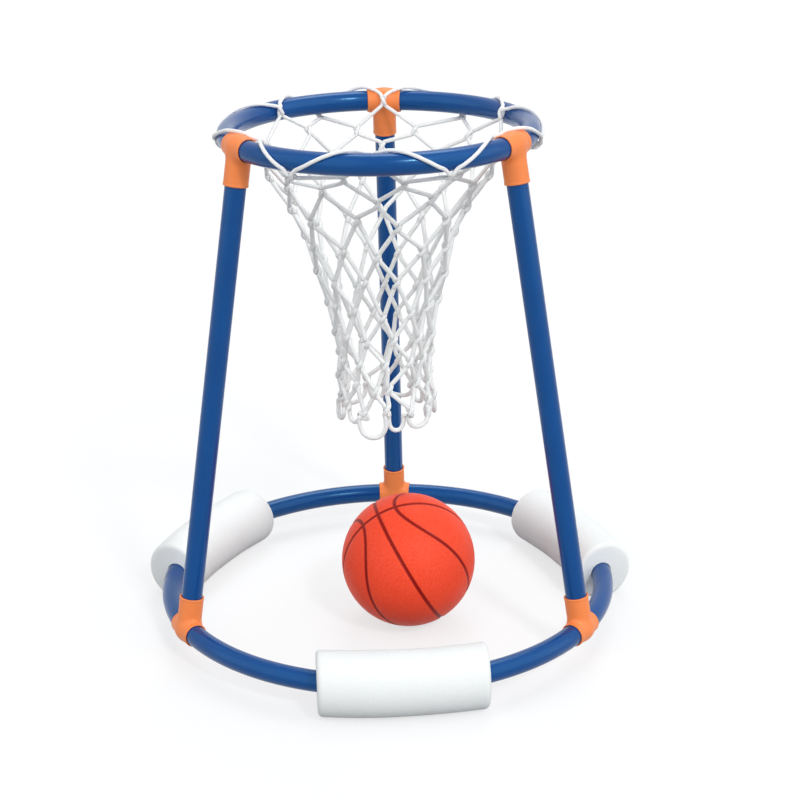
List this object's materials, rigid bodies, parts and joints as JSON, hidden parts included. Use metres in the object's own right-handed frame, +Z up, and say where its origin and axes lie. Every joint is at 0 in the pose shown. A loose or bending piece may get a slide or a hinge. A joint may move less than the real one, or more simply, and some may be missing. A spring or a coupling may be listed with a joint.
{
  "type": "poolside basketball hoop",
  "caption": "Three-legged tube hoop with a cord net and foam floats on its base ring, for the poolside or for floating, with a small rubber ball.",
  "frame": {"origin": "middle of the footprint on the surface that the floats rest on; the axis of both rings passes 10 mm behind it", "axes": "+Z up along the rings' axis, +Y from the front float to the back leg, +X to the right seen from the front"},
  "size_m": [0.672, 0.6445, 0.6875],
  "materials": {
    "tube_plastic": "gloss",
    "fitting_plastic": "satin",
    "float_foam": "matte",
    "net_cord": "matte",
    "ball_rubber": "matte",
    "valve_rubber": "matte"
  },
  "bodies": {
    "frame": {"rim_tube_front": "tube_plastic", "rim_tube_right": "tube_plastic", "rim_tube_left": "tube_plastic", "rim_tee_back": "fitting_plastic", "rim_tee_left": "fitting_plastic", "rim_tee_right": "fitting_plastic", "leg_back": "tube_plastic", "leg_left": "tube_plastic", "leg_right": "tube_plastic", "base_tee_back": "fitting_plastic", "base_tee_left": "fitting_plastic", "base_tee_right": "fitting_plastic", "base_tube_front": "tube_plastic", "base_tube_right": "tube_plastic", "base_tube_left": "tube_plastic", "net": "net_cord"},
    "front_float": {"float_front": "float_foam"},
    "right_float": {"float_right": "float_foam"},
    "left_float": {"float_left": "float_foam"},
    "ball": {"ball": "ball_rubber", "ball_valve": "valve_rubber"}
  },
  "joints": [
    {"name": "front_float_slide", "type": "hinge", "parent": "frame", "child": "front_float", "pos_m": [0, 0.01, 0.0415], "axis": [0, 0, 1], "range_deg": [-38.3, 26.9]},
    {"name": "right_float_slide", "type": "hinge", "parent": "frame", "child": "right_float", "pos_m": [0, 0.01, 0.0415], "axis": [0, 0, 1], "range_deg": [-27.1, 38.1]},
    {"name": "left_float_slide", "type": "hinge", "parent": "frame", "child": "left_float", "pos_m": [0, 0.01, 0.0415], "axis": [0, 0, 1], "range_deg": [-38.1, 27.1]},
    {"name": "ball_lift", "type": "slide", "parent": "frame", "child": "ball", "axis": [0, -0.8192, 0.5736], "range_m": [0, 0.5]}
  ]
}
